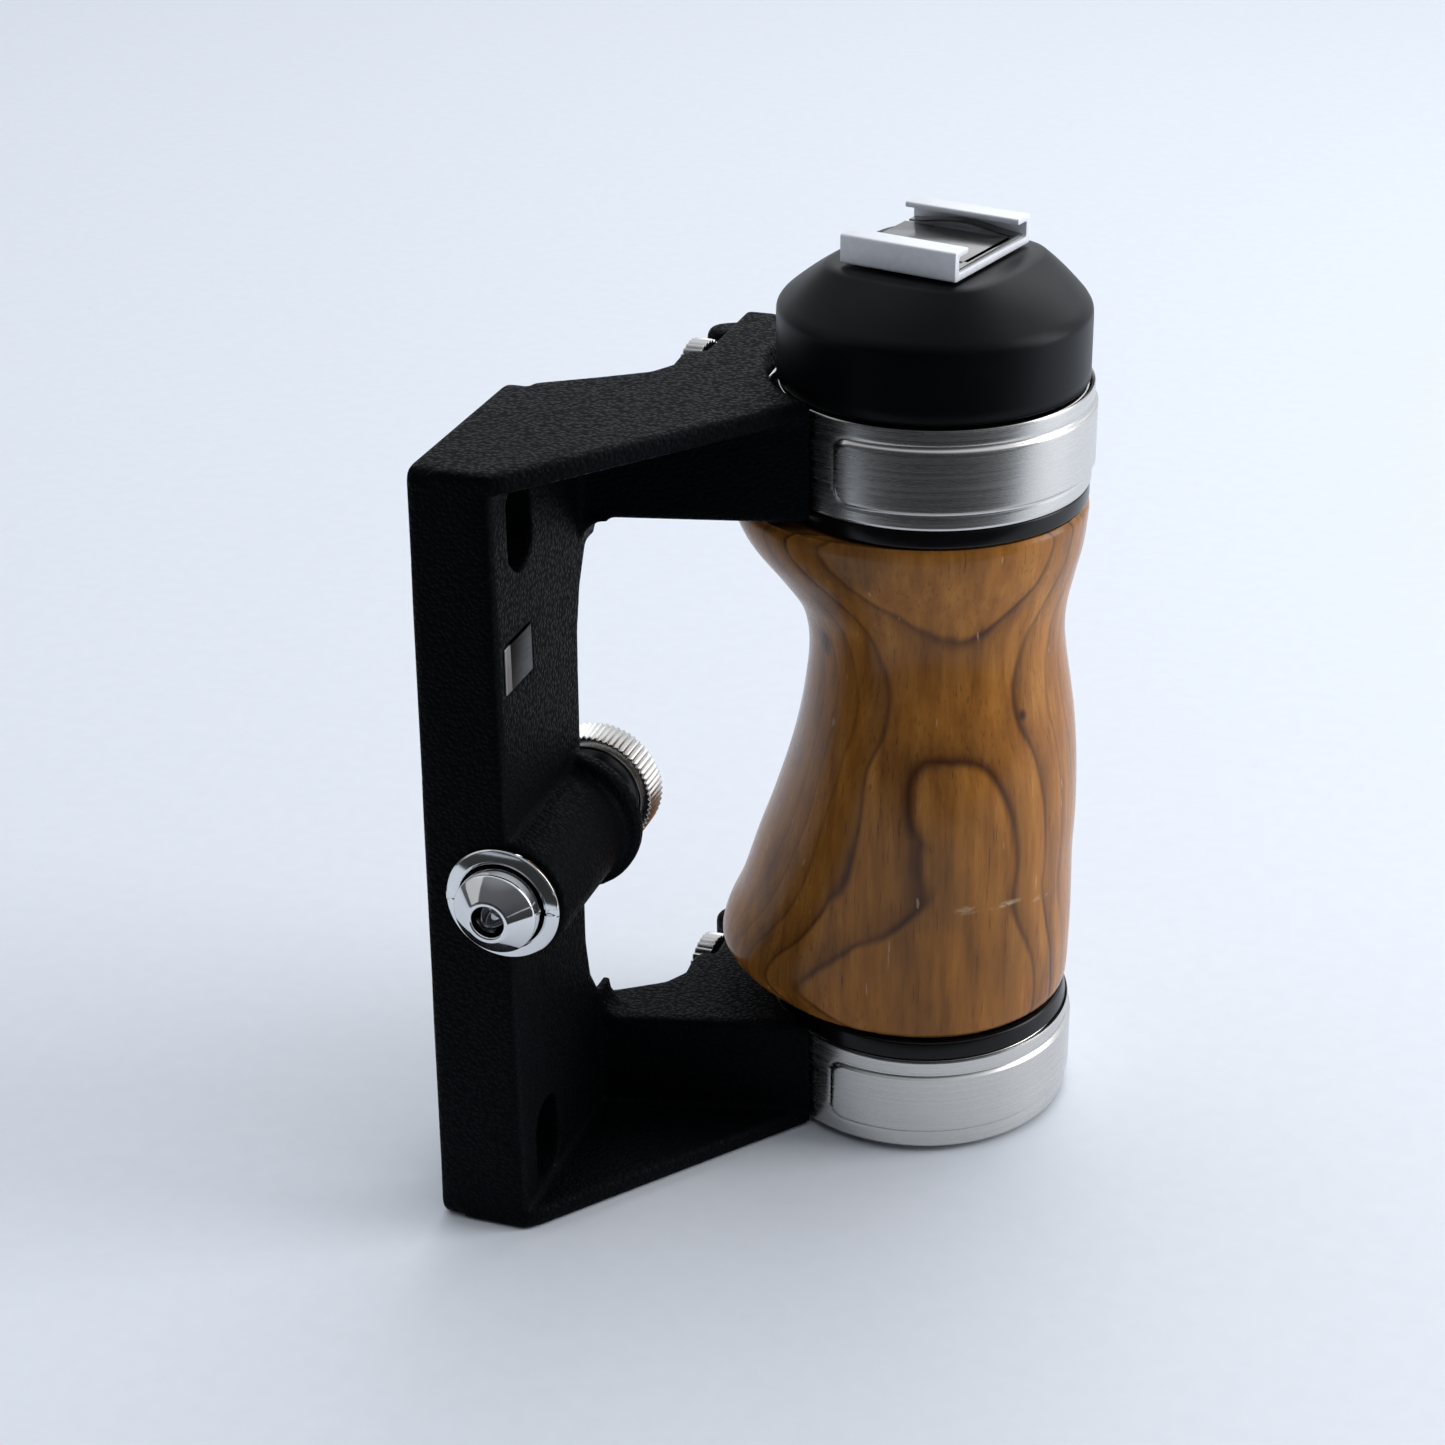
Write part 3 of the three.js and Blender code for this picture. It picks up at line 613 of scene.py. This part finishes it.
for where, height in WHEEL.items():
    at = (0, 1.05, height)
    knurled(f"{where}_clamp_wheel", [(1.8, -34.8), (4.9, -34.8), (5.6, -35.3), (7.85, -35.3),
                                     (7.85, -32.6), (1.8, -32.6)],
            7.85, 0.42, 40, "x", at, f"{where}_wheel", bright_steel)
    turned(f"{where}_clamp_washer", [(1.8, -32.3), (4, -32.3), (4, -31.6), (1.8, -31.6)], "x", at, "frame",
           bright_steel, 48, 0.1)
    stud = spun([(0, -36), (1.15, -36), (1.45, -35.7), (1.45, -23.4), (0, -23.4)], 48, 0.08)
    place_mesh(f"look_{where}_clamp_stud", move(stud, "x", at), "frame", bright_steel)
    nut = block((4.6, 7.1, 9.1), (-25.25, 0.5, height - 0.1 * (where == "top") - 0.0), 0.35)
    place_mesh(f"look_{where}_clamp_nut", nut, "frame", bright_steel)
    rivet = move(spun([(0, 21.8), (1.4, 21.8), (1.4, 24.3), (1.1, 24.6), (0, 24.68)], 32, 0.1), "x",
                 (0, 0, height))
    bmesh.ops.rotate(rivet, verts=rivet.verts, cent=(0, 0, 0),
                     matrix=Matrix.Rotation(math.radians(218), 3, "Z"))
    place_mesh(f"look_{where}_strap_rivet", rivet, "frame", bright_steel)

# %% [markdown]
# ## The release
#
# A chrome collar is screwed into the front of the boss; two slots in its face take the
# spanner. The button slides in it: a cylinder, a cone, and a tapered hole that takes the tip
# of a cable. Behind it a stem runs through the boss to the neck, where a knurled wheel locks
# the cable. The spring sits round the stem inside the boss.

# %% Release
AT = (-42.2, 0, 52.8)
collar = spun([(6.15, -57.15), (6.5, -57.22), (7.85, -56.9), (8.05, -56.7), (8.05, -56.32), (6.8, -56.3),
               (6.8, -50.7), (6.15, -50.7)], 240, 0.06)
for v in collar.verts:
    if abs(v.co.y) < 0.48 * MM and v.co.z < -56.72 * MM:
        v.co.z = -56.72 * MM
place_mesh("look_release_collar", move(collar, "y", AT), "frame", chrome, angle=25)
turned("release_button", [(0, -47.6), (5.75, -47.6), (5.75, -59.55), (2.95, -61.95), (2.35, -61.95),
                          (2.05, -60.8),
                          (1.9, -56), (0, -55.5)], "y", AT, "button", chrome, 128, 0.22)
turned("release_plunger", [(0, -49.5), (1.9, -49.5), (1.9, -47.2), (1.5, -47), (1.5, -22.6), (1.1, -22.1),
                           (0, -22.1)],
       "y", AT, "button", bright_steel, 48, 0.1)
turned("plunger_clip", [(1.85, -46.6), (3.6, -46.6), (3.6, -45.8), (1.85, -45.8)], "y", AT, "button",
       bright_steel, 48, 0.1)
turned("rear_neck", [(1.9, -37.6), (3.1, -37.6), (3.1, -30.1), (6.15, -30.1), (6.15, -28.5), (4.35, -27.6),
                     (4.35, -18.55), (1.9, -18.55)], "y", AT, "frame", bright_steel, 96,
                     0.25)
knurled("cable_wheel", [(4.75, -19.15), (4.75, -22.05), (7.35, -22.05), (7.35, -24.15), (9.0, -24.15),
                        (9.0, -19.15)],
        9.0, 0.38, 64, "y", AT, "cable_wheel", bright_steel)
# The insert gets the near-black steel, which paints shade onto the hub face of the cable wheel.
turned("cable_wheel_insert", [(4.8, -22.4), (7.05, -22.4), (7.05, -23.75), (6.8, -23.85), (5, -23.1),
                              (4.8, -22.9)], "y",
       AT, "cable_wheel", shade_darkened_steel, 96, 0.08)

# %% [markdown]
# The return spring is a wire wound into a helix. Spinning a small circle with a rise per step
# winds it, and the two ends are closed by filling the holes.

# %% Return spring
wire_end = Matrix.Translation((4.7 * MM, 0, -44.88 * MM))
bm = bmesh.new()
bmesh.ops.create_circle(bm, cap_ends=False, segments=12, radius=0.40 * MM,
                        matrix=wire_end @ Matrix.Rotation(math.pi / 2, 4, "X"))
turns, rise = 3, 3.15
bmesh.ops.spin(bm, geom=bm.verts[:] + bm.edges[:], cent=(0, 0, 0), axis=(0, 0, 1), angle=math.tau * turns,
               dvec=(0, 0, rise * MM / (turns * 40)), steps=turns * 40, use_merge=False, use_duplicate=False)
bmesh.ops.holes_fill(bm, edges=[e for e in bm.edges if e.is_boundary])
place_mesh("look_return_spring", move(bm, "y", AT), "button", bright_steel)

# %% [markdown]
# ## The cold shoe
#
# The rail is one bent section: a base, two walls and two inward lips, all with eased edges.
# The section is extruded along the rail. Two countersunk screws hold it, and a thin spring
# plate lies over them. The spring's two side arms arch up under the lips to grip a foot.

# %% Shoe
HALF, LENGTH, LOW = 10.4, 17.2, 128.32
section = [(-HALF, LOW), (HALF, LOW), (HALF, LOW + 3.95), (HALF - 3.5, LOW + 3.95), (HALF - 3.5, LOW + 3.15),
           (HALF - 1.1, LOW + 3.15), (HALF - 1.1, LOW + 1), (1.1 - HALF, LOW + 1), (1.1 - HALF, LOW + 3.15),
           (3.5 - HALF, LOW + 3.15), (3.5 - HALF, LOW + 3.95), (-HALF, LOW + 3.95)]
bm = bmesh.new()
outline = [bm.verts.new((-LENGTH / 2 * MM, p[0] * MM, p[1] * MM)) for p in rounded(section, 0.4, 5)]
end = bm.faces.new(outline)
grown = bmesh.ops.extrude_face_region(bm, geom=[end])["geom"]
far = [v for v in grown if isinstance(v, bmesh.types.BMVert)]
bmesh.ops.translate(bm, verts=far, vec=(LENGTH * MM, 0, 0))
rims = [e for e in bm.edges if abs(e.verts[0].co.x - e.verts[1].co.x) < 1e-7]
bmesh.ops.bevel(bm, geom=rims, offset=0.15 * MM, offset_type="OFFSET", segments=2, profile=0.5,
                affect="EDGES", material=-1, clamp_overlap=True)
turn = Matrix.Rotation(SHOE_TURN, 3, "Z")
bmesh.ops.rotate(bm, verts=bm.verts, cent=(0, 0, 0), matrix=turn)
place_mesh("look_shoe", bm, "grip", satin_chrome, angle=30)

# %% Shoe spring
bm = block((16.2, 12.2, 0.28), (0, 0, LOW + 1.42), 0.06, 2)
flat = bpy.data.meshes.new("spring parts")
for size, at in (((0.9, 17.6, 0.28), (7.8, 0, LOW + 1.42)),):
    part = block(size, at, 0.06, 2)
    part.to_mesh(flat)
    part.free()
    bm.from_mesh(flat)
for side in (-7.95, 7.95):
    arm = bmesh.new()
    bmesh.ops.create_grid(arm, x_segments=24, y_segments=1, size=0.5)
    for v in arm.verts:
        along = v.co.x * 16
        v.co = Vector((along, side + v.co.y * 1.8,
                       LOW + 1.3 + 0.9 * math.cos(math.pi * along / 17) ** 2)) * MM
    bmesh.ops.recalc_face_normals(arm, faces=arm.faces)
    bmesh.ops.solidify(arm, geom=arm.faces, thickness=-0.25 * MM)
    arm.to_mesh(flat)
    arm.free()
    bm.from_mesh(flat)
bpy.data.meshes.remove(flat)
bmesh.ops.rotate(bm, verts=bm.verts, cent=(0, 0, 0), matrix=turn)
place_mesh("look_shoe_spring", bm, "grip", spring_steel, angle=30)

# %% Shoe screws
for number, side in ((1, -5), (2, 5)):
    spot_at = turn @ Vector((0, side, 0))
    turned(f"shoe_screw_{number}", [(0, 122.95), (0.9, 122.95), (0.9, 128.55), (1.7, 129.0), (0, 129.0)],
           "z", spot_at, "grip", bright_steel, 32, 0.06)

# %% [markdown]
# ## Studio
#
# The bracket stands on a pale bench in soft, even light. Most of the light comes from a broad
# soft box above and behind, which shines on the upper faces and leaves the black faces
# nearer to the camera almost dark. A weaker box on each side shapes the round parts.

# %% Bench
bm = bmesh.new()
bmesh.ops.create_grid(bm, x_segments=1, y_segments=1, size=3.0)
mesh = bpy.data.meshes.new("bench")
bm.to_mesh(mesh)
bm.free()
bench = bpy.data.objects.new("bench", mesh)
scene.collection.objects.link(bench)
paper, tree, shader = start("pale paper", Base_Color=(0.80, 0.83, 0.88, 1), Roughness=0.6)
grain = noise(tree, coordinates(tree), 300, 3)
tree.links.new(ramp(tree, grain, [(0.2, (0.77, 0.81, 0.87)), (0.8, (0.80, 0.84, 0.90))]),
               shader.inputs["Base Color"])
mesh.materials.append(paper)

# %% Light
scene.view_settings.view_transform = "Standard"
world = bpy.data.worlds.new("soft room")
world.use_nodes = True
sky = world.node_tree
looks = sky.nodes.new("ShaderNodeTexCoord")
parts = sky.nodes.new("ShaderNodeSeparateXYZ")
sky.links.new(looks.outputs["Generated"], parts.inputs[0])
back = maths(sky, "ADD", parts.outputs["Y"], maths(sky, "MULTIPLY", parts.outputs["Z"], 0.8))
back = maths(sky, "ADD", back, maths(sky, "MULTIPLY", parts.outputs["X"], 0.15))
shade = ramp(sky, spread(sky, back, 0.0, 1.0, -0.9, 0.7),
             [(0.0, (0.012, 0.012, 0.014)), (0.5, (0.11, 0.114, 0.124)), (1.0, (0.85, 0.885, 0.94))])
backdrop = sky.nodes["Background"]
sky.links.new(shade, backdrop.inputs["Color"])
backdrop.inputs["Strength"].default_value = 1.06
scene.world = world


def soft_box(name, at, size, power, colour=(1, 1, 1)):
    lamp = bpy.data.lights.new(name, "AREA")
    lamp.shape, lamp.size, lamp.size_y = "RECTANGLE", size[0], size[1]
    lamp.energy, lamp.color = power, colour
    holder = bpy.data.objects.new(name, lamp)
    holder.location = at
    holder.rotation_euler = (Vector((0, 0, 0.06)) - Vector(at)).to_track_quat("-Z", "Y").to_euler()
    scene.collection.objects.link(holder)


soft_box("back box", (0.1, 0.75, 0.75), (1.0, 0.7), 2.6, (0.97, 0.98, 1.0))
soft_box("right box", (0.75, 0.22, 0.4), (0.4, 0.7), 4.0)
soft_box("left box", (-0.8, -0.35, 0.5), (0.4, 0.7), 0.4)

# %% [markdown]
# A black card lies on the bench in front of the bracket to put a dark core into the
# reflections of steel and chrome. Only reflections see it: it casts no shadow on the bench.

# %% Black card
bm = bmesh.new()
bmesh.ops.create_grid(bm, x_segments=1, y_segments=1, size=0.5)
for v in bm.verts:
    flat_place = Vector((v.co.x * 1.3 - 0.12, v.co.y * 1.6 - 0.95, 0.001))
    v.co = Matrix.Rotation(math.radians(19), 3, "Z") @ flat_place
mesh = bpy.data.meshes.new("black card")
bm.to_mesh(mesh)
bm.free()
card = bpy.data.objects.new("black card", mesh)
scene.collection.objects.link(card)
felt, tree, shader = start("black felt", Base_Color=(0.01, 0.01, 0.011, 1), Roughness=0.9)
fluff = noise(tree, coordinates(tree), 400, 2)
tree.links.new(ramp(tree, fluff, [(0.2, (0.008, 0.008, 0.009)), (0.8, (0.014, 0.014, 0.015))]),
               shader.inputs["Base Color"])
mesh.materials.append(felt)
card.visible_camera = card.visible_diffuse = card.visible_shadow = False

# %% [markdown]
# ## Camera
#
# The camera stands in front, a little to the right and above, and looks slightly down.
# A moderate long lens from about 40 cm keeps the upright lines nearly parallel.

# %% Camera
lens = bpy.data.cameras.new("camera")
lens.lens, lens.sensor_width = 72.91, 36.0
lens.clip_start, lens.clip_end = 0.01, 20
camera = bpy.data.objects.new("camera", lens)
around, down, tilt = math.radians(19.134), math.radians(26.378), math.radians(-0.818)
ahead = Vector((-math.sin(around) * math.cos(down), math.cos(around) * math.cos(down), -math.sin(down)))
level = Vector((math.cos(around), math.sin(around), 0))
above = level.cross(ahead)
right = level * math.cos(tilt) + above * math.sin(tilt)
up = above * math.cos(tilt) - level * math.sin(tilt)
facing = Matrix((right, up, -ahead)).transposed().to_4x4()
camera.matrix_world = Matrix.Translation((0.0953, -0.3635, 0.2451)) @ facing
scene.collection.objects.link(camera)
scene.camera = camera
